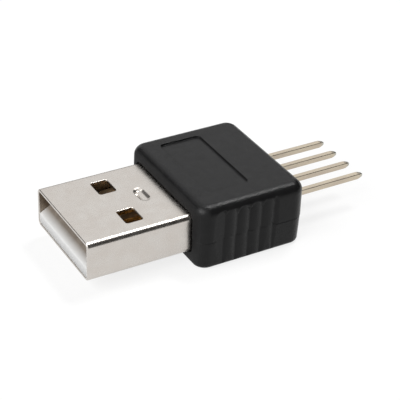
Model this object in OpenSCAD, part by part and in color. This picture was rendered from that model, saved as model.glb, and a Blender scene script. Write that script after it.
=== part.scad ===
// USB-A plug with four header pins: a folded sheet shell over a plastic tongue with four
// contacts, square pins soldered to the contact tails, and a moulded block over the joint.
// The mouth of the plug faces -Y, the pins leave along +Y and +Z is up.
// The origin is the centre of the mouth.

/* [Shell] */
// Width of the plug outside the shell
shell_w = 12.0; // [11.4:0.1:14.4]
// Height of the plug outside the shell
shell_h = 4.5; // [4.3:0.1:5.4]
// How far the shell stands out of the moulded block
shell_reach = 11.7; // [9.75:0.05:14]
// Length of the shell's tail inside the moulded block
shell_tail = 7.0; // [6:0.1:8.5]
// Thickness of the folded sheet
sheet_t = 0.3; // [0.24:0.02:0.36]
// Outside radius of the four folds
fold_r = 0.6; // [0.5:0.05:0.75]
// Round-over on the outer edge of the mouth
lip_r = 0.14; // [0.06:0.02:0.2]
// Size of a latch window across the plug
window_w = 2.45; // [2:0.05:2.9]
// Size of a latch window along the plug
window_l = 1.95; // [1.6:0.05:2.4]
// Centre of a latch window from the plug's centre line
window_x = 3.0; // [2.8:0.05:3.4]
// Near edge of the latch windows from the mouth
window_y = 5.2; // [4.2:0.1:6]
// Radius of the corners of a latch window
window_corner = 0.25; // [0.1:0.05:0.4]
// Centre of the pressed locking dimple from the mouth
dimple_y = 9.15; // [9.1:0.05:9.6]
// Radius of the locking dimple on the outside
dimple_r = 0.8; // [0.5:0.05:0.9]
// Depth of the locking dimple
dimple_depth = 0.26; // [0.1:0.02:0.3]
// Gap of the seam under the shell
seam_gap = 0.08; // [0.04:0.02:0.12]
// Width of a seam key at its root
seam_key_w = 1.4; // [1:0.1:2]
// Height of a seam key across the seam
seam_key_h = 0.9; // [0.6:0.1:1.2]

/* [Contacts] */
// Width of a contact where the socket touches it
contact_w = 1.0; // [0.8:0.05:1.2]
// Thickness of a contact
contact_t = 0.25; // [0.2:0.01:0.3]
// Data contacts from the centre line
data_x = 1.0; // [0.85:0.05:1.2]
// Power contacts from the centre line
power_x = 3.5; // [2.9:0.05:4.1]
// Front end of the power contacts from the mouth
power_y = 1.9; // [1.6:0.1:2.3]
// Front end of the data contacts from the mouth
data_y = 2.9; // [2.4:0.1:3.5]
// How far the contacts stand proud of the tongue
contact_proud = 0.05; // [0.02:0.01:0.08]
// Width of a soldering tail
tail_w = 1.2; // [1:0.05:1.4]
// Drop from a contact to its soldering tail
tail_drop = 0.58; // [0.42:0.02:0.66]

/* [Insulator] */
// Front face of the tongue behind the mouth
tongue_set = 0.15; // [0.1:0.05:0.3]
// Length of the rounded lead-in on the tongue
lead_l = 1.1; // [0.9:0.1:1.3]
// Height of the rounded lead-in on the tongue
lead_h = 0.75; // [0.5:0.05:0.9]
// Depth of the opening that a socket's tongue enters
socket_depth = 8.65; // [8.3:0.05:8.9]
// How far the insulator's solid block reaches into the moulded block
insulator_tail = 2.9; // [2:0.1:3.6]

/* [Header pins] */
// Distance between neighbouring pins
pin_pitch = 2.54; // [2:0.01:3.1]
// Side of a square pin
pin_t = 0.64; // [0.5:0.01:0.77]
// How far the pins stand out of the moulded block
pin_reach = 10.15; // [5:0.05:12.2]
// Length of the pyramid at each pin end
pin_point = 0.9; // [0.6:0.05:1.2]
// Side of the flat at a pin's tip
pin_flat = 0.16; // [0.1:0.02:0.24]
// Thickness of the header's plastic strip along the pins
strip_l = 2.5; // [1.5:0.1:2.9]
// Height of the header's plastic strip
strip_h = 2.5; // [2:0.1:3]
// Gap between the tail shelf and the header's plastic strip
strip_gap = 0.6; // [0.2:0.1:1.2]
// Inner moulding behind the header's plastic strip
strip_back = 1.65; // [0.6:0.05:2.4]

/* [Moulded block] */
// How far the block stands out past each side of the shell, at its parting line
block_side = 1.85; // [1.5:0.05:3]
// How far the block stands out over and under the shell
block_over = 1.45; // [1.3:0.05:2.2]
// Length of the block
block_l = 12.95; // [10.8:0.05:15.6]
// Radius of the block's upright corners
corner_r = 1.5; // [1.3:0.05:2]
// Round-over along the top edge
top_r = 1.1; // [0.8:0.05:1.4]
// Round-over along the bottom edge
bottom_r = 0.5; // [0.3:0.05:0.9]
// Height of the parting line from the plug's centre
parting_z = -0.4; // [-0.8:0.1:0.4]
// How much each upright side leans in above the parting line
draft_top = 0.03; // [0:0.01:0.15]
// How much each upright side leans in below the parting line
draft_bottom = 0.1; // [0:0.01:0.3]
// Step between the two halves at the parting line
parting_step = 0.03; // [0.01:0.01:0.06]

/* [Grip] */
// Ribs on each side of the block
rib_count = 4; // [2:1:6]
// Distance between neighbouring ribs
rib_pitch = 1.5; // [1.2:0.05:1.6]
// Height of a rib above the grooves beside it
rib_height = 0.13; // [0.06:0.01:0.2]
// Depth of the hollow that the ribs stand in
grip_depth = 0.14; // [0.06:0.01:0.25]
// Middle of the grip from the front of the block
grip_y = 6.05; // [5.6:0.05:6.4]
// How much lower the grip starts than the top of the block
grip_top_gap = 1.0; // [0.8:0.05:1.4]
// Sideways shift of the lower half of the ribs
mould_shift = 0.1; // [0:0.02:0.16]

/* [Label panel] */
// Size of the sunk panel across the block
panel_w = 10.7; // [8:0.1:11.4]
// Size of the sunk panel along the block
panel_l = 4.9; // [3:0.1:5.6]
// Shift of the sunk panel to one side of the centre line
panel_x = -0.55; // [-0.7:0.05:0.7]
// Front edge of the sunk panel from the front of the block
panel_y = 2.65; // [2.3:0.05:4]
// Depth of the sunk panel
panel_depth = 0.2; // [0.1:0.02:0.3]
// Radius of the sunk panel's corners
panel_corner = 0.5; // [0.2:0.05:0.8]

/* [Inner moulding and fits] */
// Thickness of the outer moulding over the inner one, at the sides
cover_side = 1.2; // [0.9:0.05:1.5]
// Thickness of the outer moulding over the inner one, top and bottom
cover_top = 0.95; // [0.8:0.05:1.2]
// Thickness of the outer moulding over the inner one, front and back
cover_end = 1.5; // [1.2:0.05:1.8]
// Clearance round the insulator inside the shell
fit_gap = 0.04; // [0.02:0.01:0.06]
// Clearance round a contact in its slot
slot_gap = 0.02; // [0.01:0.01:0.04]

/* [Hidden] */
$fn = 64;

// Overlap that makes two pieces of one solid meet, and how far a cut runs past a face
tiny = 0.01;
past = 1;
inner_w = shell_w - 2 * sheet_t;
inner_h = shell_h - 2 * sheet_t;
body_w = inner_w - 2 * fit_gap;
floor_z = fit_gap - inner_h / 2;
roof_z = -floor_z;
tongue_z = 0;

contact_top = tongue_z + contact_proud;
contact_under = contact_top - contact_t;
tail_top = contact_top - tail_drop;
tail_under = tail_top - contact_t;

// Places along the plug, worked in from both ends of the moulded block
block_w = shell_w + 2 * block_side;
block_h = shell_h + 2 * block_over;
block_y = shell_reach;
block_back = block_y + block_l;
shell_l = block_y + shell_tail;
insulator_back = block_y + insulator_tail;
riser_wall = 1.2;
riser_y = insulator_back - riser_wall;
strip_y = block_back - cover_end - strip_back - strip_l;
strip_nick = 0.2;
shelf_back = strip_y - strip_gap;
tail_margin = 0.3;
tail_back = shelf_back - tail_margin;
solder_lead = 0.2;
solder_rise = 0.8;

pin_z = tail_top + pin_t / 2;
pin_lead = 0.5;
pin_front = insulator_back + pin_lead;
pin_back = block_back + pin_reach;

block_top = block_h / 2;
block_under = -block_h / 2;
inner_mould_w = block_w - 2 * cover_side - 2 * grip_depth;
inner_mould_h = block_h - 2 * cover_top;
inner_mould_y = block_y + cover_end;
inner_mould_l = block_l - 2 * cover_end;

grip_mid = block_y + grip_y;
grip_half = rib_count * rib_pitch / 2;
run_out = rib_pitch / 2;
rib_steps = 8;
key_flare = 0.12;
fold_clear = 0.75;

// Contact positions from the power side to the ground side, and the pin behind each one
contact_xs = [power_x, data_x, -data_x, -power_x];
contact_ys = [power_y, data_y, data_y, power_y];
pin_xs = [for (i = [0:3]) (1.5 - i) * pin_pitch];

// Sweeps a profile once round a rectangle with rounded corners. The profile's X is the
// distance out from the centres of the corners, and its Y becomes Z.
module sweep_round(w, l, r) {
    for (side = [0:1]) rotate([0, 0, 180 * side]) {
        translate([w / 2 - r, r - l / 2, 0]) rotate([90, 0, 180])
            linear_extrude(l - 2 * r) mirror([1, 0]) children();
        translate([r - w / 2, l / 2 - r, 0]) rotate([90, 0, 90])
            linear_extrude(w - 2 * r) children();
        translate([w / 2 - r, l / 2 - r, 0]) rotate_extrude(angle = 90) children();
        translate([r - w / 2, l / 2 - r, 0]) rotate([0, 0, 90])
            rotate_extrude(angle = 90) children();
    }
}

// Rectangle with rounded corners, centred
module round_square(w, l, r) {
    square([w, l - 2 * r], center = true);
    square([w - 2 * r, l], center = true);
    for (x = [-1, 1], y = [-1, 1])
        translate([x * (w / 2 - r), y * (l / 2 - r)]) circle(r);
}

// A flat outline in X and Z, drawn out along Y from one place to another
module along_y(y_from, y_to) {
    translate([0, y_to, 0]) rotate([90, 0, 0]) linear_extrude(y_to - y_from) children();
}

// A flat outline in Y and Z, drawn out along X from one place to another
module along_x(x_from, x_to) {
    translate([x_from, 0, 0]) rotate([90, 0, 90]) linear_extrude(x_to - x_from) children();
}

module block_between(low, high) {
    translate(low) cube(high - low);
}

// Outer envelope of the shell, from one place along it to another
module shell_space(y_from, y_to) {
    along_y(y_from, y_to) round_square(shell_w, shell_h, fold_r);
}

// Section through the folded sheet along the plug, with its mouth edge rounded over
module sheet_section() {
    translate([fold_r - sheet_t, lip_r]) square([sheet_t, shell_l - lip_r]);
    translate([fold_r - sheet_t, 0]) square([sheet_t - lip_r, lip_r + tiny]);
    translate([fold_r - lip_r, lip_r]) circle(lip_r);
}

// Zigzag of the interlocking seam under the shell, seen from below
module seam_outline() {
    pitch = shell_l / 2;
    for (k = [0:1]) translate([0, pitch * (k + 0.5)]) difference() {
        key(seam_key_w + seam_gap, seam_key_h + seam_gap);
        translate([-seam_gap / 2, 0]) key(seam_key_w - seam_gap, seam_key_h - seam_gap / 2);
    }
    difference() {
        translate([-seam_gap / 2, -past]) square([seam_gap, shell_l + 2 * past]);
        for (k = [0:1]) translate([-seam_gap, pitch * (k + 0.5) - seam_key_w / 2 + seam_gap / 2])
            square([2 * seam_gap, seam_key_w - seam_gap]);
    }
}

// Dovetail key: wider at its free end than at its root
module key(w, h) {
    polygon([[0, -w / 2], [h, -w / 2 - key_flare], [h, w / 2 + key_flare], [0, w / 2]]);
}

function dent_sphere(r, depth) = (r * r + depth * depth) / (2 * depth);

// Radius of the dimple where it leaves the inside of the sheet
function dimple_foot() =
    let (ball = dent_sphere(dimple_r, dimple_depth) + sheet_t)
        sqrt(ball * ball - pow(ball - dimple_depth, 2));

// Pressed dimple: a cap standing into the shell, and the hollow over it
module dimple(grow) {
    ball = dent_sphere(dimple_r, dimple_depth);
    translate([0, dimple_y, shell_h / 2 + ball - dimple_depth]) sphere(ball + grow);
}

module shell() {
    color("gainsboro") difference() {
        union() {
            rotate([90, 0, 0]) mirror([0, 0, 1]) sweep_round(shell_w, shell_h, fold_r)
                sheet_section();
            intersection() {
                dimple(sheet_t);
                block_between([-2 * dimple_r, dimple_y - 2 * dimple_r, 0],
                    [2 * dimple_r, dimple_y + 2 * dimple_r, shell_h / 2 - sheet_t / 2]);
            }
        }
        dimple(0);
        for (x = [-1, 1]) translate([x * window_x, window_y + window_l / 2, 0])
            linear_extrude(2 * shell_h, center = true)
                round_square(window_w, window_l, window_corner);
        translate([0, 0, -shell_h]) linear_extrude(shell_h) seam_outline();
    }
}

// Space of one contact and its tail, grown by a clearance
module contact_space(i, grow) {
    g = [grow, grow, grow];
    strip_low = [contact_xs[i] - contact_w / 2, contact_ys[i], contact_under];
    strip_high = [contact_xs[i] + contact_w / 2, riser_y + contact_t, contact_top];
    tail_low = [pin_xs[i] - tail_w / 2, riser_y, tail_under];
    tail_high = [pin_xs[i] + tail_w / 2, tail_back, tail_top];
    riser_low = [min(strip_low.x, tail_low.x), riser_y, tail_under];
    riser_high = [max(strip_high.x, tail_high.x), riser_y + contact_t, contact_top];
    nose = [0, contact_t / 2, 0];
    block_between(strip_low + nose - g, strip_high + g);
    block_between(tail_low - g, tail_high + g);
    block_between(riser_low - g, riser_high + g);
    translate([contact_xs[i], contact_ys[i] + contact_t / 2, contact_top - contact_t / 2])
        rotate([0, 90, 0]) cylinder(r = contact_t / 2 + grow, h = contact_w + 2 * grow, center = true);
}

module contact(i) {
    color("goldenrod") contact_space(i, 0);
}

// Side outline of the insulator: tongue with its rounded lead-in, solid block and tail shelf
function insulator_side() = concat(
    [[insulator_back, floor_z], [tongue_set, floor_z]],
    [for (a = [0:10:90]) [tongue_set + lead_l * (1 - cos(a)), tongue_z - lead_h * (1 - sin(a))]],
    [[socket_depth, tongue_z], [socket_depth, roof_z], [insulator_back, roof_z]]);

// Chamfer that clears the inside of the shell's folds
function corner_cut() = fold_clear * (fold_r - sheet_t);

module insulator() {
    cut = corner_cut();
    half = body_w / 2;
    pocket = dimple_foot() + fit_gap;
    color("white") difference() {
        union() {
            intersection() {
                along_x(-half, half) polygon(insulator_side());
                along_y(0, insulator_back) polygon([
                    [cut - half, floor_z], [half - cut, floor_z], [half, floor_z + cut],
                    [half, roof_z - cut], [half - cut, roof_z], [cut - half, roof_z],
                    [-half, roof_z - cut], [-half, floor_z + cut]]);
            }
            block_between([cut - half, insulator_back - tiny, floor_z],
                [half - cut, shelf_back, tail_under]);
        }
        for (i = [0:3]) contact_space(i, slot_gap);
        // Pocket that the shell's dimple locks into
        block_between([-pocket, dimple_y - pocket, roof_z - dimple_depth],
            [pocket, dimple_y + pocket, roof_z + past]);
        // Slots that let each contact and its bent tail be pushed in from the back
        for (i = [0:3]) block_between(
            [min(contact_xs[i] - contact_w / 2, pin_xs[i] - tail_w / 2) - slot_gap, riser_y, tail_under],
            [max(contact_xs[i] + contact_w / 2, pin_xs[i] + tail_w / 2) + slot_gap,
                insulator_back + tiny, contact_top + slot_gap]);
    }
}

// Solder heaped over the front of a pin on its tail, with hollow sides
module solder(i) {
    foot = tail_w / 2;
    rise = solder_rise * pin_t;
    run = foot - pin_t / 2;
    right = concat([[foot, 0]],
        [for (a = [20:20:80]) [foot - run * sin(a), rise * (1 - cos(a))]], [[foot - run, rise]]);
    left = [for (k = [len(right) - 1:-1:0]) [-right[k].x, right[k].y]];
    color("silver") difference() {
        translate([pin_xs[i], 0, tail_top])
            along_y(pin_front - solder_lead, tail_back - solder_lead) polygon(concat(right, left));
        pin(i);
    }
}

// Square pin with a pyramid at each end, as two crossing outlines
module pin_outline() {
    half = pin_t / 2;
    flat = pin_flat / 2;
    polygon([[pin_front, -flat], [pin_front + pin_point, -half], [pin_back - pin_point, -half],
        [pin_back, -flat], [pin_back, flat], [pin_back - pin_point, half],
        [pin_front + pin_point, half], [pin_front, flat]]);
}

module pin(i) {
    color("darkkhaki") translate([pin_xs[i], 0, pin_z]) intersection() {
        along_x(-pin_t, pin_t) pin_outline();
        translate([0, 0, -pin_t]) linear_extrude(2 * pin_t) mirror([1, -1]) pin_outline();
    }
}

// Square hole that a pin fills
module pin_hole(i, y_from, y_to) {
    half = pin_t / 2;
    block_between([pin_xs[i] - half, y_from, pin_z - half], [pin_xs[i] + half, y_to, pin_z + half]);
}

// Plastic strip of the header: one eight-sided cell for each pin, side by side
module header_strip() {
    cell = min(pin_pitch, 2 * strip_h) / 2;
    high = strip_h / 2;
    nick = strip_nick * pin_pitch;
    color("dimgray") difference() {
        for (i = [0:3]) translate([pin_xs[i], 0, pin_z]) along_y(strip_y, strip_y + strip_l)
            polygon([[-cell, nick - high], [nick - cell, -high], [cell - nick, -high],
                [cell, nick - high], [cell, high - nick], [cell - nick, high],
                [nick - cell, high], [-cell, high - nick]]);
        for (i = [0:3]) pin_hole(i, strip_y - past, strip_y + strip_l + past);
    }
}

module inner_mould_space() {
    block_between([-inner_mould_w / 2, inner_mould_y, -inner_mould_h / 2],
        [inner_mould_w / 2, inner_mould_y + inner_mould_l, inner_mould_h / 2]);
}

// Inner moulding: fills the back of the shell and holds the soldered joints and the header
module inner_mould() {
    color("lightgray") difference() {
        inner_mould_space();
        difference() {
            shell_space(0, shell_l);
            along_y(insulator_back, shell_l + past) round_square(inner_w, inner_h, fold_r - sheet_t);
        }
        insulator();
        for (i = [0:3]) {
            contact_space(i, 0);
            solder(i);
            pin(i);
        }
        header_strip();
    }
}

// Upright section of the block at its corner: the round-overs, the leaning sides and the
// small step where the two halves of the mould meet
module block_section() {
    side_top = corner_r - draft_top;
    side_under = corner_r - parting_step - draft_bottom;
    union() {
        translate([0, block_top - top_r]) intersection() {
            translate([side_top - top_r, 0]) circle(top_r);
            square([corner_r, top_r]);
        }
        translate([0, block_under]) intersection() {
            translate([side_under - bottom_r, bottom_r]) circle(bottom_r);
            square([corner_r, bottom_r]);
        }
        polygon([[0, parting_z], [corner_r, parting_z], [side_top, block_top - top_r],
            [side_top - top_r, block_top - top_r + tiny], [side_top - top_r, block_top],
            [0, block_top]]);
        polygon([[0, parting_z], [corner_r - parting_step, parting_z],
            [side_under, block_under + bottom_r], [side_under - bottom_r, block_under + bottom_r],
            [side_under - bottom_r, block_under], [0, block_under]]);
    }
}

// Depth of the long shallow hollow at a place along the grip
function waist(y) = grip_depth * (1 - pow(y / (grip_half + run_out), 2));

// Floor of the grip seen from above: ribs with round backs in a long shallow hollow
function rib_floor() = concat(
    [[-past, -grip_half - run_out], [0, -grip_half - run_out]],
    [for (i = [0:rib_count - 1], s = [0:rib_steps - 1])
        let (y = -grip_half + (i + s / rib_steps) * rib_pitch, t = 2 * s / rib_steps - 1)
            [waist(y) + rib_height * t * t, y]],
    [[waist(grip_half) + rib_height, grip_half], [0, grip_half + run_out],
        [-past, grip_half + run_out]]);

// Side view of the grip: tall slots with round tops, one for each rib
module grip_mask(low, high) {
    for (i = [0:rib_count - 1]) translate([(i + 0.5) * rib_pitch - grip_half, 0]) {
        translate([-rib_pitch / 2, low]) square([rib_pitch, high - low - rib_pitch / 2]);
        translate([0, high - rib_pitch / 2]) circle(rib_pitch / 2);
    }
    for (side = [-1, 1]) translate([side * (grip_half + run_out / 2) - run_out / 2, low])
        square([run_out, high - low - rib_pitch / 2]);
}

// What the mould leaves out of the +X side of the block for the grip
module grip_cut() {
    high = block_top - grip_top_gap;
    for (half = [0, 1]) {
        low = half == 0 ? parting_z : block_under - past;
        top = half == 0 ? high : parting_z;
        shift = half == 0 ? 0 : -mould_shift;
        side = block_w / 2 - half * parting_step;
        translate([side, grip_mid + shift, 0]) intersection() {
            translate([0, 0, low]) linear_extrude(top - low) mirror([1, 0]) polygon(rib_floor());
            along_x(-past, past) grip_mask(block_under - past, high);
        }
    }
}

module overmould() {
    color("#2a2a2c") difference() {
        translate([0, block_y + block_l / 2, 0]) {
            sweep_round(block_w, block_l, corner_r) block_section();
            block_between([corner_r - block_w / 2, corner_r - block_l / 2, block_under],
                [block_w / 2 - corner_r, block_l / 2 - corner_r, block_top]);
        }
        grip_cut();
        mirror([1, 0, 0]) grip_cut();
        translate([panel_x, block_y + panel_y + panel_l / 2, block_top - panel_depth])
            linear_extrude(past) round_square(panel_w, panel_l, panel_corner);
        shell_space(0, inner_mould_y + tiny);
        inner_mould_space();
        for (i = [0:3]) pin_hole(i, inner_mould_y, block_back + past);
    }
}

shell();
insulator();
contact(0);  // contact_vbus
contact(1);  // contact_data_minus
contact(2);  // contact_data_plus
contact(3);  // contact_ground
solder(0);  // solder_vbus
solder(1);  // solder_data_minus
solder(2);  // solder_data_plus
solder(3);  // solder_ground
header_strip();
pin(0);  // pin_vbus
pin(1);  // pin_data_minus
pin(2);  // pin_data_plus
pin(3);  // pin_ground
inner_mould();
overmould();
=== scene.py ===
import math

import bmesh
import bpy
from mathutils import Matrix, Vector
from mathutils.geometry import delaunay_2d_cdt


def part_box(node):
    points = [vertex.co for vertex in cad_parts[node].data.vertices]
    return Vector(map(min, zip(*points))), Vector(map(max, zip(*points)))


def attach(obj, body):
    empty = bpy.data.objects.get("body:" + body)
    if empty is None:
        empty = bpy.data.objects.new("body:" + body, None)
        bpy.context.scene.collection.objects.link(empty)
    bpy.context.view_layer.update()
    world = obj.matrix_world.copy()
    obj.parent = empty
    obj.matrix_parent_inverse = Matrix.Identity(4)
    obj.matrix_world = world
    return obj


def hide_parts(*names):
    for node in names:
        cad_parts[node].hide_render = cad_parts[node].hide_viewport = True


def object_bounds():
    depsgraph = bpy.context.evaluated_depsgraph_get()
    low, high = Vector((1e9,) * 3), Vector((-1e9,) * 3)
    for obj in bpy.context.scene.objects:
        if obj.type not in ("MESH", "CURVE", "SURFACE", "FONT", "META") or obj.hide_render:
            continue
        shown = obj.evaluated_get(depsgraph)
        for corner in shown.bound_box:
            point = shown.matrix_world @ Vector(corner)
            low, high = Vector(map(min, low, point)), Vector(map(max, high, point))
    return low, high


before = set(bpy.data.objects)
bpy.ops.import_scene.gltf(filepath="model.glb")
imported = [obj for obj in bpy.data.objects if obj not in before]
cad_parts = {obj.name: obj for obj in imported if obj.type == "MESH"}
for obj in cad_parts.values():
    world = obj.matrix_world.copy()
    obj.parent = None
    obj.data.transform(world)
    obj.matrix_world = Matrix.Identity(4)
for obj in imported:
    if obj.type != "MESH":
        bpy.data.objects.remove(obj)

# The box of the CAD model, before anything is added
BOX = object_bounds()

# Meshes are worked out in millimetres and made in metres. The plug's mouth is at y = 0 and
# faces -Y, the pins leave the back of the block towards +Y, and +Z is up
MM = 0.001


def box_mm(node):
    """Low and high corner of a CAD node, in millimetres."""
    low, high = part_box(node)
    return low / MM, high / MM


SHELL = box_mm("shell")
BLOCK = box_mm("overmould")
PINS = ["pin_vbus", "pin_data_minus", "pin_data_plus", "pin_ground"]
CONTACTS = ["contact_vbus", "contact_data_minus", "contact_data_plus", "contact_ground"]
SOLDERS = ["solder_vbus", "solder_data_minus", "solder_data_plus", "solder_ground"]

# --- camera -------------------------------------------------------------------

# Azimuth is turned from -Y towards +X. Angles in degrees, place and lens in millimetres
VIEW_AZIMUTH = 58.832
VIEW_ELEVATION = 32.660
VIEW_ROLL = 2.551
VIEW_PLACE = Vector((105.355, -47.471, 78.400))
SENSOR = 36
LENS = 122.56
# Nearest and farthest the camera sees, in metres
CLIP = (0.01, 10)


def make_camera():
    """The camera, at the place and lens from which the plug is seen."""
    data = bpy.data.cameras.new("camera")
    cam = bpy.data.objects.new("camera", data)
    bpy.context.scene.collection.objects.link(cam)
    a = math.radians(VIEW_AZIMUTH)
    e = math.radians(VIEW_ELEVATION)
    r = math.radians(VIEW_ROLL)
    back = Vector((math.sin(a) * math.cos(e), -math.cos(a) * math.cos(e), math.sin(e)))
    right = Vector((math.cos(a), math.sin(a), 0))
    up = back.cross(right)
    rolled_right = math.cos(r) * right + math.sin(r) * up
    rolled_up = math.cos(r) * up - math.sin(r) * right
    turn = Matrix((rolled_right, rolled_up, back)).transposed()
    cam.matrix_world = Matrix.Translation(VIEW_PLACE * MM) @ turn.to_4x4()
    data.sensor_width = SENSOR
    data.lens = LENS
    data.clip_start, data.clip_end = CLIP
    bpy.context.scene.camera = cam


# --- mesh building --------------------------------------------------------------

# Points nearer than this are one point, in metres: in a piece built here, and in a CAD node
SAME_POINT = 1e-8
SAME_CAD_POINT = 1e-7
# The same for filling a flat region, in millimetres
SAME_FLAT_POINT = 1e-7
# Flat strip, in millimetres, kept beside each rounded edge so that its shading stays there
LEAD = 0.06


class Skin:
    """Points and faces of one closed piece, in millimetres."""

    def __init__(self):
        self.points = []
        self.faces = []

    def ring(self, points):
        """Adds points and returns their numbers."""
        start = len(self.points)
        self.points.extend(Vector(p) for p in points)
        return list(range(start, len(self.points)))

    def bridge(self, a, b, closed=True):
        """Faces between two rings of as many points."""
        for i in range(len(a) if closed else len(a) - 1):
            j = (i + 1) % len(a)
            self.faces.append((a[i], a[j], b[j], b[i]))

    def stack(self, rings):
        """Faces through a row of rings."""
        for a, b in zip(rings, rings[1:]):
            self.bridge(a, b)

    def cap(self, axes, *loops):
        """Fills a flat region: the first loop is its outside, the others are its holes."""
        index = [i for loop in loops for i in loop]
        flat = [Vector((self.points[i][axes[0]], self.points[i][axes[1]])) for i in index]
        edges = []
        outlines = []
        start = 0
        for loop in loops:
            n = len(loop)
            edges += [(start + k, start + (k + 1) % n) for k in range(n)]
            outlines.append(flat[start:start + n])
            start += n
        places, _, triangles, origins, _, _ = delaunay_2d_cdt(flat, edges, [], 0, SAME_FLAT_POINT)
        for t in triangles:
            middle = sum((places[k] for k in t), Vector((0, 0))) / 3
            if sum(is_inside(middle, outline) for outline in outlines) == 1:
                self.faces.append(tuple(index[origins[k][0]] for k in t))

    def build(self, name, slot, material, *nodes):
        """Makes the piece, in place of the CAD nodes given."""
        mesh = bpy.data.meshes.new(name)
        mesh.from_pydata([p * MM for p in self.points], [], self.faces)
        work = bmesh.new()
        work.from_mesh(mesh)
        bmesh.ops.remove_doubles(work, verts=work.verts, dist=SAME_POINT)
        bmesh.ops.recalc_face_normals(work, faces=work.faces)
        work.to_mesh(mesh)
        work.free()
        return place_piece(name, mesh, slot, material, *nodes)


def is_inside(p, outline):
    """Whether a line from the point crosses the outline an odd number of times."""
    odd = False
    for a, b in zip(outline, outline[1:] + outline[:1]):
        if (a.y > p.y) != (b.y > p.y) and p.x < a.x + (p.y - a.y) * (b.x - a.x) / (b.y - a.y):
            odd = not odd
    return odd


def place_piece(name, mesh, slot, material, *nodes):
    """Puts a piece in the scene, in place of the CAD nodes given."""
    mesh.shade_smooth()
    mesh.materials.clear()
    mesh.materials.append(material)
    piece = bpy.data.objects.new(name, mesh)
    bpy.context.scene.collection.objects.link(piece)
    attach(piece, "root")
    if nodes:
        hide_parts(*nodes)
    return piece


def rounded(half_w, half_h, radius, steps, lead=0.0):
    """Rounded rectangle about the origin, counter-clockwise, with a point before and after
    each corner where lead is given."""
    points = []
    for k, (sx, sy) in enumerate(((1, 1), (-1, 1), (-1, -1), (1, -1))):
        centre = Vector((sx * (half_w - radius), sy * (half_h - radius)))
        arc = [math.radians(90 * (k + i / steps)) for i in range(steps + 1)]
        corner = [centre + radius * Vector((math.cos(a), math.sin(a))) for a in arc]
        if lead:
            before = Vector((math.sin(arc[0]), -math.cos(arc[0])))
            after = Vector((-math.sin(arc[-1]), math.cos(arc[-1])))
            corner = [corner[0] + lead * before] + corner + [corner[-1] + lead * after]
        points += corner
    return points


def grow(loop, distance):
    """The loop pushed out by a distance, corner by corner. Counter-clockwise loops grow."""
    out = []
    for i, p in enumerate(loop):
        a = (p - loop[i - 1]).normalized()
        b = (loop[(i + 1) % len(loop)] - p).normalized()
        na = Vector((a.y, -a.x))
        nb = Vector((b.y, -b.x))
        out.append(p + (na + nb) * distance / (1 + na.dot(nb)))
    return out


def shrink(loop, distance):
    return grow(loop, -distance)


def round_over(radius, steps=4):
    """Steps over a rounded edge: distance still to go to the edge, and depth below the face."""
    turns = [math.radians(90 * i / steps) for i in range(steps + 1)]
    return [(radius * (1 - math.sin(a)), radius * (1 - math.cos(a))) for a in turns]


def hole(skin, loop, place, thickness, outer_r, inner_r, lead=LEAD):
    """Rings through a sheet round a hole: its first ring lies on the outer face and its last
    on the inner face. place(x, y, depth) gives a point of the sheet."""
    steps = [(outer_r + lead, 0)] + round_over(outer_r)
    steps += [(o, thickness - d) for o, d in reversed(round_over(inner_r))]
    steps += [(inner_r + lead, thickness)]
    rings = [skin.ring([place(p.x, p.y, d) for p in grow(loop, o)]) for o, d in steps]
    skin.stack(rings)
    return rings[0], rings[-1]


# --- shell ----------------------------------------------------------------------

# Thickness of the sheet
SHEET = 0.3
# Outer radius of the folds, and radius of the mouth's edge outside and inside
FOLD = 0.6
LIP = 0.11
INNER_LIP = 0.04
FOLD_STEPS = 12
LIP_STEPS = 6
# Latch windows: width and length, middle from the centre line, near edge from the mouth
WINDOW = (2.45, 1.95)
WINDOW_X = 3.0
WINDOW_Y = 5.2
WINDOW_CORNER = 0.25
WINDOW_STEPS = 6
PUNCH_ROUND = 0.06
# Oblong dimple: its middle, end radius, half the length between its ends, depth, slope of its
# wall, softness of its edges and the radius at which the sheet is flat again
DIMPLE_Y = 9.15
DIMPLE_R = 0.62
DIMPLE_HALF = 0.65
DIMPLE_DEPTH = 0.26
DIMPLE_SLOPE = 0.78
DIMPLE_EDGE = 0.035
DIMPLE_SPAN = 0.95
# Rings of its mesh, and degrees between the points of a ring
DIMPLE_RINGS = 32
DIMPLE_TURN = 7.5
# Seam: its gap, its keys with their reach and width, how far a key widens, the rounding of its
# edges with the flat strip beside it, and how far it stays from the ends of the shell
SEAM_GAP = 0.08
SEAM_KEYS = 2
SEAM_KEY = (0.9, 1.4)
SEAM_FLARE = 0.12
SEAM_ROUND = 0.02
SEAM_LEAD = 0.02
SEAM_START = 0.35


def shell_ring(skin, inset, y):
    """Ring round the shell at a depth into its sheet."""
    half_w = SHELL[1].x - inset
    half_h = SHELL[1].z - inset
    section = rounded(half_w, half_h, FOLD - inset, FOLD_STEPS, LEAD)
    return skin.ring([(p.x, y, p.y) for p in section])


def ease(value):
    """The value where it is above zero, else zero, with a soft turn between."""
    return DIMPLE_EDGE * math.log1p(math.exp(value / DIMPLE_EDGE))


def dimple_depth(r):
    """Depth at a distance from the dimple's middle line: a sloped wall and a flat bottom."""
    return DIMPLE_DEPTH - ease(DIMPLE_DEPTH - ease(DIMPLE_SLOPE * (DIMPLE_R - r)))


def dimple_point(r, sheet):
    """Distance out and depth of the face that lies a sheet's thickness behind the dimple."""
    if r == DIMPLE_SPAN:
        return r, sheet
    step = 1e-4
    slope = (dimple_depth(r + step) - dimple_depth(r - step)) / (2 * step)
    tilt = math.hypot(1, slope)
    return r - sheet * slope / tilt, dimple_depth(r) + sheet / tilt


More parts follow.
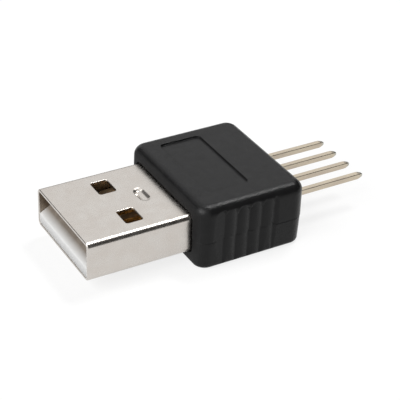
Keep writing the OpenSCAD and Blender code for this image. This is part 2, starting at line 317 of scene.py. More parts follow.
def dimple(skin, place, thickness):
    """Both faces of the pressed oblong dimple; returns their outer rings."""
    turns = round(180 / DIMPLE_TURN)
    half_turn = [math.radians(DIMPLE_TURN * k - 90) for k in range(turns + 1)]
    around = [(DIMPLE_HALF, a) for a in half_turn] + [(-DIMPLE_HALF, a + math.pi) for a in half_turn]
    reach = [DIMPLE_SPAN * k / DIMPLE_RINGS for k in range(DIMPLE_RINGS, 0, -1)]
    ends = []
    for sheet in (0, thickness):
        rings = []
        for r in reach:
            far, deep = dimple_point(r, sheet)
            rings.append(skin.ring([place(x + far * math.cos(a), DIMPLE_Y + far * math.sin(a), deep)
                                    for x, a in around]))
        skin.stack(rings)
        skin.cap((0, 1), rings[-1])
        ends.append(rings[0])
    return ends


def seam_loop(length):
    """Outline of the zigzag gap where the two edges of the sheet lock together."""
    gap = SEAM_GAP / 2
    reach, width = SEAM_KEY
    right = []
    left = []
    for k in range(SEAM_KEYS):
        y = length / SEAM_KEYS * (k + 0.5)
        for side in (-1, 1):
            wide = width / 2 + gap
            slim = width / 2 - gap
            outer = [(gap, y + side * wide), (reach + gap, y + side * (wide + SEAM_FLARE))]
            inner = [(-gap, y + side * slim), (reach - gap, y + side * (slim + SEAM_FLARE))]
            right += outer if side < 0 else outer[::-1]
            left += inner if side < 0 else inner[::-1]
    ends = (SEAM_START, length - SEAM_START)
    loop = [(gap, ends[0])] + right + [(gap, ends[1]), (-gap, ends[1])] + left[::-1]
    return [Vector(p) for p in loop + [(-gap, ends[0])]]


def window_loops():
    """Outlines of the two latch windows."""
    loops = []
    for side in (-1, 1):
        middle = Vector((side * WINDOW_X, WINDOW_Y + WINDOW[1] / 2))
        shape = rounded(WINDOW[0] / 2, WINDOW[1] / 2, WINDOW_CORNER, WINDOW_STEPS)
        loops.append([p + middle for p in shape])
    return loops


def make_shell(material):
    """The folded shell: its two ends, its sides, and its top and underside with their holes."""
    skin = Skin()
    length = SHELL[1].y
    start_out = shell_ring(skin, 0, LIP + LEAD)
    start_in = shell_ring(skin, SHEET, INNER_LIP + LEAD)
    outer_lip = [shell_ring(skin, o, d) for o, d in reversed(round_over(LIP, LIP_STEPS))]
    inner_lip = [shell_ring(skin, SHEET - o, d) for o, d in round_over(INNER_LIP)]
    skin.stack([start_out] + outer_lip + inner_lip + [start_in])
    tail_out = shell_ring(skin, 0, length - LEAD)
    tail_in = shell_ring(skin, SHEET, length - LEAD)
    skin.stack([tail_out, shell_ring(skin, 0, length), shell_ring(skin, SHEET, length), tail_in])
    # Points in each corner: those of its fold, and one on the flat to either side
    corner = FOLD_STEPS + 3
    for start, end in ((start_out, tail_out), (start_in, tail_in)):
        for first in (0, 2 * corner):
            strip = [k % (4 * corner) for k in range(first - corner, first + corner)]
            skin.bridge([start[k] for k in strip], [end[k] for k in strip], closed=False)
    for up in (1, -1):
        def place(x, y, depth):
            return x, y, up * (SHELL[1].z - depth)
        pairs = [hole(skin, w, place, SHEET, PUNCH_ROUND, PUNCH_ROUND / 2) for w in window_loops()]
        if up > 0:
            pairs.append(dimple(skin, place, SHEET))
        else:
            seam = seam_loop(length)
            pairs.append(hole(skin, seam, place, SHEET, SEAM_ROUND, SEAM_ROUND / 2, SEAM_LEAD))
        last, first = (corner - 1, corner) if up > 0 else (3 * corner - 1, 3 * corner)
        for k, (start, end) in enumerate(((start_out, tail_out), (start_in, tail_in))):
            edge = [start[last], end[last], end[first], start[first]]
            skin.cap((0, 1), edge, *[pair[k] for pair in pairs])
    skin.build("plug_shell", "plated_shell", material, "shell")


# --- moulded block ----------------------------------------------------------------

# Radius of the upright corners, and of the edges round the top and the underside
CORNER = 1.5
CORNER_STEPS = 10
TOP_ROUND = 1.1
TOP_STEPS = 18
UNDER_ROUND = 0.5
UNDER_STEPS = 6
# Flat rim between a rounded edge and the face inside it
RIM = 0.1
# Parting line: its height, the draft above and below, the step in and the groove under it
PARTING_Z = -0.4
DRAFT_TOP = 0.03
DRAFT_UNDER = 0.1
PARTING_STEP = 0.03
PARTING_GROOVE = 0.05
# Shares of the groove's height between which it is deepest, and the flat strip over the line
GROOVE_FLOOR = (0.8, 0.1)
PARTING_LEAD = 0.01
# Grip: arched ribs in a waist, whose middle is GRIP_Y behind the front of the block. Its
# arches end GRIP_GAP below the top, ramps lead out of it at both ends, and its lower half
# sits GRIP_SHIFT nearer the front
RIBS = 4
RIB_PITCH = 1.5
RIB_HEIGHT = 0.17
GRIP_DEPTH = 0.14
GRIP_Y = 6.05
GRIP_GAP = 0.62
RAMP_FRONT = 1.45
RAMP_BACK = 0.45
GRIP_SHIFT = 0.1
# How far outside and inside its outline a rib's edge fades
GRIP_FADE = (0.03, 0.07)
# Sunk panel: width and length, middle from the centre line, front edge from the block's front
PANEL = (10.7, 4.9)
PANEL_X = -0.55
PANEL_Y = 2.65
PANEL_DEPTH = 0.2
PANEL_CORNER = 0.5
PANEL_STEPS = 8
PANEL_ROUND = 0.05
# Walls of the cover over the inner moulding
COVER_SIDE = 1.34
COVER_TOP = 0.95
COVER_END = 1.5
# Side of a pin, corner radius of its hole, and the rounding and flat strip round the hole
PIN = 0.64
PIN_CORNER = 0.03
PIN_STEPS = 3
PIN_HOLE_ROUND = 0.05
PIN_HOLE_LEAD = 0.03
# Largest cell of the mesh on the ribbed sides
SIDE_CELL = 0.07
# Recess round the shell where it enters the block
RECESS = 0.18
RECESS_DEPTH = 0.5
RECESS_ROUND = 0.03
RECESS_STEPS = 8
# A side faces straight out where its direction leans less than this
STRAIGHT = 1e-9


def spread(low, high, cell):
    """Places from low to high, no further apart than about a cell."""
    n = max(1, round((high - low) / cell))
    return [low + (high - low) * k / n for k in range(n + 1)]


def block_profile():
    """Distance out from the corners' centres, and height, up the side of the block."""
    low = BLOCK[0].z
    high = BLOCK[1].z
    side_under = CORNER - PARTING_STEP - DRAFT_UNDER
    side_top = CORNER - DRAFT_TOP
    points = []
    for o, d in round_over(UNDER_ROUND, UNDER_STEPS):
        points.append((side_under - o, low + d))
    for z in spread(low + UNDER_ROUND, PARTING_Z - PARTING_GROOVE, SIDE_CELL)[1:]:
        t = (z - low - UNDER_ROUND) / (PARTING_Z - low - UNDER_ROUND)
        points.append((side_under + DRAFT_UNDER * t, z))
    deep = CORNER - PARTING_STEP - PARTING_GROOVE
    points += [(deep, PARTING_Z - PARTING_GROOVE * share) for share in GROOVE_FLOOR]
    points.append((CORNER, PARTING_Z))
    for z in spread(PARTING_Z + PARTING_LEAD, high - TOP_ROUND, SIDE_CELL):
        t = (z - PARTING_Z) / (high - TOP_ROUND - PARTING_Z)
        points.append((CORNER - DRAFT_TOP * t, z))
    for o, d in round_over(TOP_ROUND, TOP_STEPS)[1:]:
        points.append((side_top - d, high - o))
    return points


def grip_cut(y, z):
    """How deep the ribbed grip is cut in at a place on the side of the block."""
    middle = BLOCK[0].y + GRIP_Y - (GRIP_SHIFT if z < PARTING_Z else 0)
    y -= middle
    half = RIBS * RIB_PITCH / 2
    arch = RIB_PITCH / 2
    ramp = RAMP_FRONT if y < 0 else RAMP_BACK
    if abs(y) >= half + ramp:
        return 0
    spring = BLOCK[1].z - GRIP_GAP - arch
    if abs(y) < half:
        across = (y + half) % RIB_PITCH - arch
        waist = GRIP_DEPTH * (1 - (y / (half + arch)) ** 2)
        depth = waist + RIB_HEIGHT * (across / arch) ** 2
        inside = max(arch - abs(across), spring - z)
        if z > spring:
            inside = arch - math.hypot(across, z - spring)
    else:
        edge = GRIP_DEPTH * (1 - (half / (half + arch)) ** 2) + RIB_HEIGHT
        depth = edge * (half + ramp - abs(y)) / ramp
        inside = spring + arch - z
    t = min(1, max(0, (inside + GRIP_FADE[0]) / sum(GRIP_FADE)))
    return depth * t * t * (3 - 2 * t)


def block_rings(skin, profile):
    """Stations round the block in plan. Each is a column of points up the profile, on one
    skeleton point and along one outward direction."""
    out_x = BLOCK[1].x - CORNER
    front = BLOCK[0].y + CORNER
    back = BLOCK[1].y - CORNER
    stations = []
    turns = [math.radians(90 * k / CORNER_STEPS) for k in range(CORNER_STEPS + 1)]
    for sx, sy, side in ((1, front, -1), (1, back, 0), (-1, back, 1), (-1, front, 2)):
        for turn in turns:
            a = turn + math.radians(90 * side)
            stations.append((sx * out_x, sy, math.cos(a), math.sin(a)))
        if side in (-1, 1):
            ys = spread(front, back, SIDE_CELL)[1:-1]
            for y in ys if side < 0 else reversed(ys):
                stations.append((sx * out_x, y, sx, 0))
    columns = []
    for x, y, nx, ny in stations:
        column = []
        for r, z in profile:
            px, py = x + nx * r, y + ny * r
            if abs(ny) < STRAIGHT:
                limit = BLOCK[1].x - grip_cut(py, z)
                px = max(-limit, min(limit, px))
            column.append((px, py, z))
        columns.append(skin.ring(column))
    return stations, columns


def block_walls(skin, profile, stations, columns):
    """Faces round the block, without the flat bands of its front and back, whose outlines
    are returned."""
    flat_from = UNDER_STEPS
    flat_to = len(profile) - 1 - TOP_STEPS
    bands = {}
    for i, column in enumerate(columns):
        j = (i + 1) % len(columns)
        after = columns[j]
        if stations[i][0] * stations[j][0] > 0:
            skin.bridge(column, after, closed=False)
            continue
        skin.bridge(column[:flat_from + 1], after[:flat_from + 1], closed=False)
        skin.bridge(column[flat_to:], after[flat_to:], closed=False)
        side = "front" if stations[i][3] < 0 else "back"
        bands[side] = column[flat_from:flat_to + 1] + after[flat_from:flat_to + 1][::-1]
    return bands["front"], bands["back"]


def rim(skin, edge, z):
    """Flat strip inside an edge of the block; returns its inner ring."""
    outline = [skin.points[i].xy for i in edge]
    inner = skin.ring([(p.x, p.y, z) for p in shrink(outline, RIM)])
    skin.bridge(edge, inner)
    return inner


def sunk_panel(skin, top):
    """Steps down into the panel; returns its outer ring and its floor's ring."""
    middle = Vector((PANEL_X, BLOCK[0].y + PANEL_Y + PANEL[1] / 2))
    shape = rounded(PANEL[0] / 2, PANEL[1] / 2, PANEL_CORNER, PANEL_STEPS)
    panel = [p + middle for p in shape]
    steps = [(PANEL_ROUND + LEAD, 0)] + round_over(PANEL_ROUND)
    steps += [(-d, PANEL_DEPTH - o) for o, d in round_over(PANEL_ROUND)]
    steps += [(-PANEL_ROUND - LEAD, PANEL_DEPTH)]
    rings = [skin.ring([(p.x, p.y, top - d) for p in grow(panel, o)]) for o, d in steps]
    skin.stack(rings)
    return rings[0], rings[-1]


def draft_in(profile, z):
    """How far the block's wall lies inside its widest line at a height."""
    for (r0, z0), (r1, z1) in zip(profile, profile[1:]):
        if z0 <= z <= z1:
            return CORNER - (r0 + (r1 - r0) * (z - z0) / (z1 - z0))
    return 0


def shell_opening(skin, profile, back):
    """Recess and passage for the shell; returns its rings on the front face and at the back."""
    opening = rounded(SHELL[1].x, SHELL[1].z, FOLD, RECESS_STEPS, LEAD)
    steps = [(RECESS + LEAD, 0)] + [(RECESS + o, d) for o, d in round_over(RECESS_ROUND)]
    steps += [(RECESS, RECESS_DEPTH), (0, RECESS_DEPTH)]
    rings = []
    for o, d in steps:
        rings.append(skin.ring([(p.x, BLOCK[0].y + draft_in(profile, p.y) + d, p.y)
                                for p in grow(opening, o)]))
    rings.append(skin.ring([(p.x, back, p.y) for p in opening]))
    skin.stack(rings)
    return rings[0], rings[-1]


def pin_hole(skin, profile, front, name):
    """Hole for one pin; returns its rings on the back face and on the inside."""
    low, high = box_mm(name)
    middle = Vector((low.x + high.x, low.z + high.z)) / 2
    loop = [p + middle for p in rounded(PIN / 2, PIN / 2, PIN_CORNER, PIN_STEPS)]
    rings = []
    for o, d in [(PIN_HOLE_ROUND + PIN_HOLE_LEAD, 0)] + round_over(PIN_HOLE_ROUND):
        rings.append(skin.ring([(p.x, BLOCK[1].y - draft_in(profile, p.y) - d, p.y)
                                for p in grow(loop, o)]))
    rings.append(skin.ring([(p.x, front, p.y) for p in loop]))
    skin.stack(rings)
    return rings[0], rings[-1]


def make_block(material):
    """The moulded block: walls, top with its panel, underside, and the room inside."""
    skin = Skin()
    profile = block_profile()
    stations, columns = block_rings(skin, profile)
    front_band, back_band = block_walls(skin, profile, stations, columns)
    top = rim(skin, [c[-1] for c in columns], BLOCK[1].z)
    under = rim(skin, [c[0] for c in columns], BLOCK[0].z)
    skin.cap((0, 1), under)
    panel_edge, panel_floor = sunk_panel(skin, BLOCK[1].z)
    skin.cap((0, 1), top, panel_edge)
    skin.cap((0, 1), panel_floor)

    room_x = BLOCK[1].x - COVER_SIDE
    room_z = BLOCK[1].z - COVER_TOP
    room_front = BLOCK[0].y + COVER_END
    room_back = BLOCK[1].y - COVER_END
    mouth, throat = shell_opening(skin, profile, room_front)
    skin.cap((0, 2), front_band, mouth)
    room = [(room_x, room_z), (-room_x, room_z), (-room_x, -room_z), (room_x, -room_z)]
    room_start = skin.ring([(x, room_front, z) for x, z in room])
    room_end = skin.ring([(x, room_back, z) for x, z in room])
    skin.cap((0, 2), room_start, throat)
    skin.bridge(room_start, room_end)
    holes = [pin_hole(skin, profile, room_back, name) for name in PINS]
    skin.cap((0, 2), back_band, *[outer for outer, _ in holes])
    skin.cap((0, 2), room_end, *[inner for _, inner in holes])
    skin.build("moulded_block", "black_moulding", material, "overmould")


# --- pins -------------------------------------------------------------------------

# Cut along a pin's long edges
PIN_CHAMFER = 0.05
# Half width of a pin at each distance from either of its ends
PIN_TIP = ((0, 0.07), (0.04, 0.13), (0.15, 0.185), (0.4, 0.255), (0.6, 0.30), (0.75, 0.32))


def chamfered(half, cut):
    """Square with cut corners."""
    return [(half, -half + cut), (half, half - cut), (half - cut, half), (cut - half, half),
            (-half, half - cut), (-half, cut - half), (cut - half, -half), (half - cut, -half)]


def make_pin(name, material):
    """One square pin, pointed at both ends."""
    skin = Skin()
    low, high = box_mm(name)
    x = (low.x + high.x) / 2
    z = (low.z + high.z) / 2
    length = high.y - low.y
    widths = list(PIN_TIP) + [(length - y, half) for y, half in reversed(PIN_TIP)]
    rings = []
    for y, half in widths:
        section = chamfered(half, PIN_CHAMFER * half / (PIN / 2))
        rings.append(skin.ring([(x + px, low.y + y, z + pz) for px, pz in section]))
    skin.stack(rings)
    skin.cap((0, 2), rings[0])
    skin.cap((0, 2), rings[-1])
    piece = skin.build("header_" + name, "gold_pin", material, name)
    piece.data.shade_flat()


# --- tongue -------------------------------------------------------------------------

# The nose runs from NOSE_FRONT to NOSE_BACK behind the mouth, with play in the shell. Its
# lead-in drops NOSE_DROP over the length NOSE_SLOPE, curved by NOSE_CURVE
NOSE_FRONT = 0.05
NOSE_BACK = 1.6
NOSE_PLAY = 0.01
NOSE_DROP = 0.82
NOSE_SLOPE = 1.4
NOSE_CURVE = 1.2
NOSE_CELL = 0.1
NOSE_STEPS = 8
# Radius of its front edge, of its upper side edges, and the chamfer round its front
NOSE_ROUND = 0.1
NOSE_SIDE = 0.06
NOSE_EDGE = 0.03


def nose_section(top, inset):
    """Across the tongue: the two lower corners follow the inside of the shell's folds."""
    half_w = SHELL[1].x - SHEET - NOSE_PLAY - inset
    floor = -SHELL[1].z + SHEET + NOSE_PLAY + inset
    fold = FOLD - SHEET - inset
    corners = ((half_w, top, NOSE_SIDE, 0), (-half_w, top, NOSE_SIDE, 90),
               (-half_w, floor, fold, 180), (half_w, floor, fold, 270))
    points = []
    for x, z, r, turn in corners:
        inward_x = -r if x > 0 else r
        inward_z = -r if z == top else r
        for k in range(NOSE_STEPS + 1):
            a = math.radians(turn + 90 * k / NOSE_STEPS)
            points.append((x + inward_x + r * math.cos(a), z + inward_z + r * math.sin(a)))
    return points


def make_nose(material):
    """Front of the insulator's tongue, with its sloped lead-in, as wide as the shell's inside."""
    skin = Skin()
    steps = round_over(NOSE_ROUND, NOSE_STEPS)
    places = spread(NOSE_FRONT + NOSE_ROUND, NOSE_BACK, NOSE_CELL)
    steps += [(0, y - NOSE_FRONT) for y in places[1:]]
    rings = []
    for edge, y in steps:
        drop = NOSE_DROP * max(0, 1 - y / NOSE_SLOPE) ** NOSE_CURVE
        section = nose_section(-edge - drop, max(0, NOSE_EDGE - y))
        rings.append(skin.ring([(x, NOSE_FRONT + y, z) for x, z in section]))
    skin.stack(rings)
    skin.cap((0, 2), rings[0])
    skin.cap((0, 2), rings[-1])
    skin.build("tongue_nose", "white_insulator", material)


# --- pieces that follow their CAD solids with softened edges ---------------------------

# Flat faces are joined where they lean less than FLAT, and edges sharper than SHARP are
# rounded, in degrees. Points nearer than WELD are then joined
FLAT = 1
SHARP = 25
WELD = 0.004
# Width of the rounding on the tongue and on the contacts, and faces over it
TONGUE_EDGE = 0.05
CONTACT_EDGE = 0.03
EDGE_STEPS = 2


def soften(node, name, slot, material, width, front=None):
    """A copy of a CAD node's solid with its edges rounded over, from front on where given."""
    mesh = bpy.data.meshes.new(name)
    work = bmesh.new()
    work.from_mesh(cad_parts[node].data)
    bmesh.ops.remove_doubles(work, verts=work.verts, dist=SAME_CAD_POINT)
    bmesh.ops.dissolve_limit(work, angle_limit=math.radians(FLAT), verts=work.verts, edges=work.edges)
    if front:
        everything = work.verts[:] + work.edges[:] + work.faces[:]
        cut = bmesh.ops.bisect_plane(work, geom=everything, plane_co=(0, front * MM, 0),
                                     plane_no=(0, 1, 0), clear_inner=True)
        cut_edges = [e for e in cut["geom_cut"] if isinstance(e, bmesh.types.BMEdge)]
        bmesh.ops.edgeloop_fill(work, edges=cut_edges)
    work.to_mesh(mesh)
    work.free()
    piece = place_piece(name, mesh, slot, material, node)
    bevel = piece.modifiers.new("edges", "BEVEL")
    bevel.width = width * MM
    bevel.segments = EDGE_STEPS
    bevel.limit_method = "ANGLE"
    bevel.angle_limit = math.radians(SHARP)
    bevel.harden_normals = True
    weld = piece.modifiers.new("weld", "WELD")
    weld.merge_threshold = WELD * MM


# --- materials -----------------------------------------------------------------------

# The sheet's inner side, where painted shade darkens the metal: shares of its thickness from the
# sides, the top and the underside, and where it starts behind the mouth
INNER_SIDE = 0.75
INNER_TOP = 0.93
INNER_UNDER = 1.15
INNER_START = 0.12
# Where the block's rough front gives way to its satin sides, behind its front face
ROUGH_FRONT = (0.05, 0.4)
# Where painted shade turns the white plastic dark brown behind the mouth, under the shell, and then
# where a lighter brown painted shade takes over deeper inside
LIP_PAINTED_SHADE = (0.1, 0.95)
DEEP_PAINTED_SHADE = (3.0, 5.0)
# Where a pin turns grey, before its outer end
CUT_END = (0.55, 0.1)

# The part of a noise's range that its values mostly fall in
NOISE_RANGE = (0.3, 0.7)


class Nodes:
    """Short ways to add and join the nodes of one material."""

    def __init__(self, name):
        self.material = bpy.data.materials.new(name)
        self.material.use_nodes = True
        self.tree = self.material.node_tree
        self.shader = self.tree.nodes["Principled BSDF"]

    def add(self, kind, **values):
        node = self.tree.nodes.new(kind)
        for key, value in values.items():
            setattr(node, key, value)
        return node

    def join(self, source, target):
        self.tree.links.new(source, target)

    def place(self, stretch=(1, 1, 1)):
        """Place on the object in millimetres, stretched along its axes."""
        coords = self.add("ShaderNodeTexCoord")
        mapping = self.add("ShaderNodeMapping")
        mapping.inputs["Scale"].default_value = [s / MM for s in stretch]
        self.join(coords.outputs["Object"], mapping.inputs["Vector"])
        return mapping.outputs["Vector"]

    def noise(self, scale, detail=3, roughness=0.5, stretch=(1, 1, 1)):
        """Noise with this many features a millimetre."""
        node = self.add("ShaderNodeTexNoise")
        node.inputs["Scale"].default_value = scale
        node.inputs["Detail"].default_value = detail
        node.inputs["Roughness"].default_value = roughness
        self.join(self.place(stretch), node.inputs["Vector"])
        return node.outputs["Fac"]

    def fit(self, value, low, high, span=NOISE_RANGE):
        """A value that goes from low to high while the one given goes over a span."""
        node = self.add("ShaderNodeMapRange")
        node.inputs["From Min"].default_value = span[0]
        node.inputs["From Max"].default_value = span[1]
        node.inputs["To Min"].default_value = low
        node.inputs["To Max"].default_value = high
        self.join(value, node.inputs["Value"])
        return node.outputs["Result"]

    def ramp(self, value, low, high):
        """A colour between two, by a noise."""
        ramp = self.add("ShaderNodeValToRGB")
        for k, colour in enumerate((low, high)):
            ramp.color_ramp.elements[k].position = NOISE_RANGE[k]
            ramp.color_ramp.elements[k].color = (*colour, 1)
        self.join(value, ramp.inputs["Fac"])
        return ramp.outputs["Color"]

    def tint(self, value, low, high):
        """Gives the surface a colour between two, by a noise."""
        self.join(self.ramp(value, low, high), self.shader.inputs["Base Color"])

    def blend(self, share, first, second):
        """The first colour where the share is 0, the second where it is 1."""
        node = self.add("ShaderNodeMix", data_type="RGBA")
        first_colour, second_colour = (i for i in node.inputs if i.type == "RGBA")
        self.join(share, node.inputs["Factor"])
        self.join(first, first_colour)
        self.join(second, second_colour)
        return next(o for o in node.outputs if o.type == "RGBA")

    def math(self, operation, first, second=None):
        """One sum, of a value alone or with a second value or plain number."""
        node = self.add("ShaderNodeMath", operation=operation)
        self.join(first, node.inputs[0])
        if isinstance(second, (int, float)):
            node.inputs[1].default_value = second
        elif second:
            self.join(second, node.inputs[1])
        return node.outputs[0]

    def along(self, axis):
        """Place along one of the object's axes, in millimetres."""
        split = self.add("ShaderNodeSeparateXYZ")
        self.join(self.place(), split.inputs["Vector"])
        return split.outputs[axis]

    def size(self, axis, middle=0):
        """Distance along an axis from a middle, in millimetres."""
        return self.math("ABSOLUTE", self.math("SUBTRACT", self.along(axis), middle))

    def all_under(self, *pairs):
        """1 where every value is under its limit, and 0 elsewhere."""
        share = None
        for value, limit in pairs:
            less = self.math("LESS_THAN", value, limit)
            share = self.math("MULTIPLY", share, less) if share else less
        return share

    def bump(self, value, strength, distance, under=None):
        """Bump of a height in millimetres, over another bump where one is given."""
        node = self.add("ShaderNodeBump")
        node.inputs["Strength"].default_value = strength
        node.inputs["Distance"].default_value = distance * MM
        self.join(value, node.inputs["Height"])
        if under:
            self.join(under, node.inputs["Normal"])
        self.join(node.outputs["Normal"], self.shader.inputs["Normal"])
        return node.outputs["Normal"]

    def rough(self, value, low, high, span=NOISE_RANGE):
        """Gives the surface a roughness between two limits."""
        self.join(self.fit(value, low, high, span), self.shader.inputs["Roughness"])

    def set(self, **values):
        """Plain values for the shader's sockets, with _ for a space in their names."""
        for key, value in values.items():
            self.shader.inputs[key.replace("_", " ")].default_value = value


def plated_metal():
    """Satin nickel plate outside; darker and browner on the sheet's inner side, as painted shade
    inside the shell.
    """
    m = Nodes("satin_nickel")
    m.set(Metallic=1.0)
    outside = m.ramp(m.noise(0.7, 2), (0.575, 0.535, 0.495), (0.605, 0.575, 0.54))
    # Painted shade: a dark brown for the inner side of the sheet, where the inside of the shell lies
    # in shade
    shell_painted_shade = m.ramp(m.noise(1.5, 3), (0.24, 0.20, 0.16), (0.32, 0.27, 0.22))
    height = m.along("Z")
    # Mask of the sheet's inner side, where the painted shade goes
    inside = m.all_under(
        (m.size("X"), SHELL[1].x - SHEET * INNER_SIDE),
        (height, SHELL[1].z - SHEET * INNER_TOP),
        (m.math("MULTIPLY", height, -1), SHELL[1].z - SHEET * INNER_UNDER),
        (m.math("MULTIPLY", m.along("Y"), -1), -INNER_START),
    )
    m.join(m.blend(inside, outside, shell_painted_shade), m.shader.inputs["Base Color"])
    m.rough(m.noise(1.4, 4), 0.24, 0.29)
    lines = m.bump(m.noise(5, 3, 0.6, (1, 0.08, 1)), 0.3, 0.001)
    m.bump(m.noise(9, 2), 0.5, 0.002, lines)
    return m.material


def black_plastic():
    """Fine satin grain; the face round the shell is rougher, as the mould left it."""
    m = Nodes("black_moulded_plastic")
    m.set(Specular_IOR_Level=0.17)
    m.tint(m.noise(0.8, 3), (0.010, 0.010, 0.0103), (0.014, 0.014, 0.0143))
    front = BLOCK[0].y
    m.rough(m.along("Y"), 0.7, 0.24, (front + ROUGH_FRONT[0], front + ROUGH_FRONT[1]))
    m.bump(m.noise(6, 2, 0.7), 1.0, 0.034)
    return m.material


def white_plastic():
    """White at the mouth, with painted shade behind it: dark brown under the shell's top, and a
    lighter brown deep inside.
    """
    m = Nodes("white_moulded_plastic")
    white = m.ramp(m.noise(0.5, 2), (0.90, 0.90, 0.89), (0.93, 0.93, 0.925))
    lip_shade_colour = m.ramp(m.noise(1.2, 3), (0.22, 0.185, 0.155), (0.28, 0.24, 0.20))
    deep_shade_colour = m.ramp(m.noise(1.2, 3), (0.55, 0.42, 0.27), (0.66, 0.51, 0.34))
    # mouth and deep blend the white with the painted shade, by the distance behind the mouth
    mouth = m.blend(m.fit(m.along("Y"), 0, 1, LIP_PAINTED_SHADE), white, lip_shade_colour)
    deep = m.blend(m.fit(m.along("Y"), 0, 1, DEEP_PAINTED_SHADE), mouth, deep_shade_colour)
    m.join(deep, m.shader.inputs["Base Color"])
    m.rough(m.noise(3, 3), 0.42, 0.52)
    m.bump(m.noise(6, 2), 0.2, 0.004)
    return m.material


def gold_contact():
    """Gold flash, brushed along the contact."""
    m = Nodes("gold_flash")
    m.set(Metallic=1.0)
    m.tint(m.noise(1.5, 3), (0.82, 0.52, 0.17), (0.90, 0.62, 0.24))
    m.rough(m.noise(3, 3), 0.18, 0.30)
    m.bump(m.noise(8, 2, 0.5, (1, 0.1, 1)), 0.2, 0.002)
    return m.material


def gold_pin():
    """Pale gold along the pin, and greyer where its outer end was cut."""
    m = Nodes("pale_gold")
    m.set(Metallic=1.0)
    gold = m.ramp(m.noise(2.2, 3, 0.5, (1, 0.15, 1)), (0.50, 0.43, 0.35), (0.60, 0.53, 0.41))
    cut = m.ramp(m.noise(4, 3), (0.40, 0.40, 0.36), (0.50, 0.49, 0.43))
    end = BOX[1].y / MM
    tip = m.fit(m.along("Y"), 0, 1, (end - CUT_END[0], end - CUT_END[1]))
    m.join(m.blend(tip, gold, cut), m.shader.inputs["Base Color"])
    m.rough(m.noise(3, 3), 0.26, 0.36)
    m.bump(m.noise(7, 2, 0.5, (1, 0.06, 1)), 0.12, 0.001)
    return m.material


def bright_solder():
    """Bright solder with an uneven skin."""
    m = Nodes("bright_solder")
    m.set(Metallic=1.0)
    m.tint(m.noise(3, 3), (0.55, 0.55, 0.57), (0.68, 0.68, 0.70))
    m.rough(m.noise(4, 3), 0.15, 0.35)
    m.bump(m.noise(4, 3), 0.4, 0.01)
    return m.material


def hidden_plastic(name, low, high):
    """Plain moulding that nothing shows, between two colours."""
    m = Nodes(name)
    m.tint(m.noise(1, 3), low, high)
    m.rough(m.noise(3, 3), 0.45, 0.6)
    m.bump(m.noise(5, 2), 0.3, 0.01)
    return m.material


# --- studio ---------------------------------------------------------------------------

# The world's light on the object, and the floor's own colour and glow
SKY = 0.15
FLOOR_COLOUR = 0.22
FLOOR_GLOW = 0.8
FLOOR_SIZE = 3
# How far the floor lies under the object, in millimetres
FLOOR_GAP = 0.01
# Distance from the middle of the plug over which the floor's glow comes back after its painted shadow
# under the plug, in millimetres
PAINTED_SHADOW_X = (2.4, 4.0)
PAINTED_SHADOW_Y = (5.0, 9.0)
CARD_DISTANCE = 0.6
CARD_STEPS = 12
# Each card's middle azimuth, turned from +X towards +Y, its width and height in degrees, and
# its grey, which is a little warm
CARDS = {
    "near_card": (42, 76, 65, 0.11),
    "side_card": (102, 44, 42, 0.07),
    "back_card": (144, 40, 15, 0.07),
    "far_card": (212, 50, 44, 0.22),
}
CARD_WARMTH = (1, 0.94, 0.9)
# Each lamp's azimuth and elevation in degrees, its size in metres, and its radiance
LAMP_DISTANCE = 0.5
LAMPS = {
    "back_softbox": (110, 63, (0.17, 0.10), 21.0),
    "front_softbox": (282, 42, (0.40, 0.34), 5.2),
}


def shown_or_lit(tree, shown, lit):
    """One value for what the camera and reflections see, another for the light it casts."""
    rays = tree.nodes.new("ShaderNodeLightPath")
    total = rays.outputs["Is Camera Ray"]
    for name in ("Is Glossy Ray", "Is Transmission Ray"):
        either = tree.nodes.new("ShaderNodeMath")
        either.operation = "MAXIMUM"
        tree.links.new(total, either.inputs[0])
        tree.links.new(rays.outputs[name], either.inputs[1])
        total = either.outputs[0]
    blend = tree.nodes.new("ShaderNodeMapRange")
    blend.inputs["To Min"].default_value = lit
    blend.inputs["To Max"].default_value = shown
    tree.links.new(total, blend.inputs["Value"])
    return blend.outputs["Result"]


def stage_piece(name, points, faces, material):
    """A piece of the studio, which is no part of the object."""
    mesh = bpy.data.meshes.new(name)
    mesh.from_pydata(points, [], faces)
    mesh.materials.append(material)
    piece = bpy.data.objects.new(name, mesh)
    bpy.context.scene.collection.objects.link(piece)


def make_floor():
    """White floor. Its glow fades out under the object as a painted shadow, where its real shadow is
    deepest.
    """
    z = BOX[0].z - FLOOR_GAP * MM
    m = Nodes("pale_floor")
    m.set(Base_Color=(FLOOR_COLOUR, FLOOR_COLOUR, FLOOR_COLOUR, 1), Roughness=0.9)
    m.set(Specular_IOR_Level=0.1, Emission_Color=(1, 1, 1, 1))
    # The glow is taken out under the plug: a painted shadow
    open_x = m.fit(m.size("X"), 0, 1, PAINTED_SHADOW_X)
    open_y = m.fit(m.size("Y", BLOCK[1].y / 2), 0, 1, PAINTED_SHADOW_Y)
    clear = m.math("MAXIMUM", open_x, open_y)
    glow = m.math("MULTIPLY", clear, shown_or_lit(m.tree, FLOOR_GLOW, 0))
    m.join(glow, m.shader.inputs["Emission Strength"])
    corners = [(x * FLOOR_SIZE, y * FLOOR_SIZE, z) for x, y in ((-1, -1), (1, -1), (1, 1), (-1, 1))]
    stage_piece("floor", corners, [(0, 1, 2, 3)], m.material)


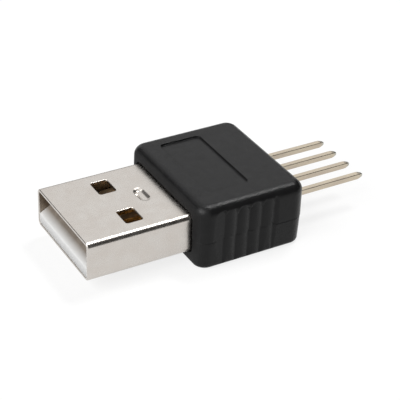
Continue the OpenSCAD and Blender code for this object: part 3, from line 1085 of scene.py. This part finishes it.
def make_cards():
    """Grey cards on the floor, out of the frame, that folds and fillets show as dark bands."""
    for name, (azimuth, width, rise, grey) in CARDS.items():
        m = Nodes(name)
        m.set(Base_Color=(*[grey * share for share in CARD_WARMTH], 1))
        m.set(Roughness=1.0, Specular_IOR_Level=0.0)
        height = CARD_DISTANCE * math.tan(math.radians(rise))
        turns = [math.radians(azimuth + width * (k / CARD_STEPS - 0.5)) for k in range(CARD_STEPS + 1)]
        foot = [(CARD_DISTANCE * math.cos(a), CARD_DISTANCE * math.sin(a)) for a in turns]
        points = [(x, y, BOX[0].z) for x, y in foot] + [(x, y, height) for x, y in foot]
        n = len(foot)
        faces = [(k, k + 1, k + 1 + n, k + n) for k in range(CARD_STEPS)]
        stage_piece(name, points, faces, m.material)


def make_light():
    """A white world that lights only a little, and two softboxes."""
    world = bpy.data.worlds.new("studio")
    bpy.context.scene.world = world
    world.use_nodes = True
    sky = world.node_tree.nodes["Background"]
    sky.inputs["Color"].default_value = (1.0, 1.0, 1.0, 1)
    world.node_tree.links.new(shown_or_lit(world.node_tree, 1, SKY), sky.inputs["Strength"])
    for name, (azimuth, elevation, size, radiance) in LAMPS.items():
        a = math.radians(azimuth)
        e = math.radians(elevation)
        out = Vector((math.cos(a) * math.cos(e), math.sin(a) * math.cos(e), math.sin(e)))
        data = bpy.data.lights.new(name, "AREA")
        data.shape = "RECTANGLE"
        data.size, data.size_y = size
        data.energy = radiance * math.pi * size[0] * size[1]
        lamp = bpy.data.objects.new(name, data)
        bpy.context.scene.collection.objects.link(lamp)
        lamp.location = LAMP_DISTANCE * out
        lamp.rotation_euler = (-out).to_track_quat("-Z", "Y").to_euler()


# --- the whole scene --------------------------------------------------------------------


def set_material(node, material):
    """Gives a CAD node that stays as it is a better material."""
    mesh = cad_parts[node].data
    mesh.materials.clear()
    mesh.materials.append(material)


def make_pieces():
    """Every piece of the object, with its material."""
    metal = plated_metal()
    black = black_plastic()
    white = white_plastic()
    gold = gold_contact()
    pin_gold = gold_pin()
    solder = bright_solder()
    strip = hidden_plastic("strip_plastic", (0.02, 0.02, 0.02), (0.035, 0.035, 0.035))
    inner = hidden_plastic("inner_plastic", (0.6, 0.6, 0.58), (0.7, 0.7, 0.68))
    make_shell(metal)
    make_block(black)
    for name in PINS:
        make_pin(name, pin_gold)
    make_nose(white)
    soften("insulator", "tongue", "white_insulator", white, TONGUE_EDGE, front=NOSE_BACK)
    for name in CONTACTS:
        soften(name, name + "_strip", "gold_contact", gold, CONTACT_EDGE)
    for name in SOLDERS:
        set_material(name, solder)
    set_material("header_strip", strip)
    set_material("inner_mould", inner)


make_camera()
make_pieces()
make_floor()
make_cards()
make_light()
bpy.context.scene.view_settings.view_transform = "Standard"
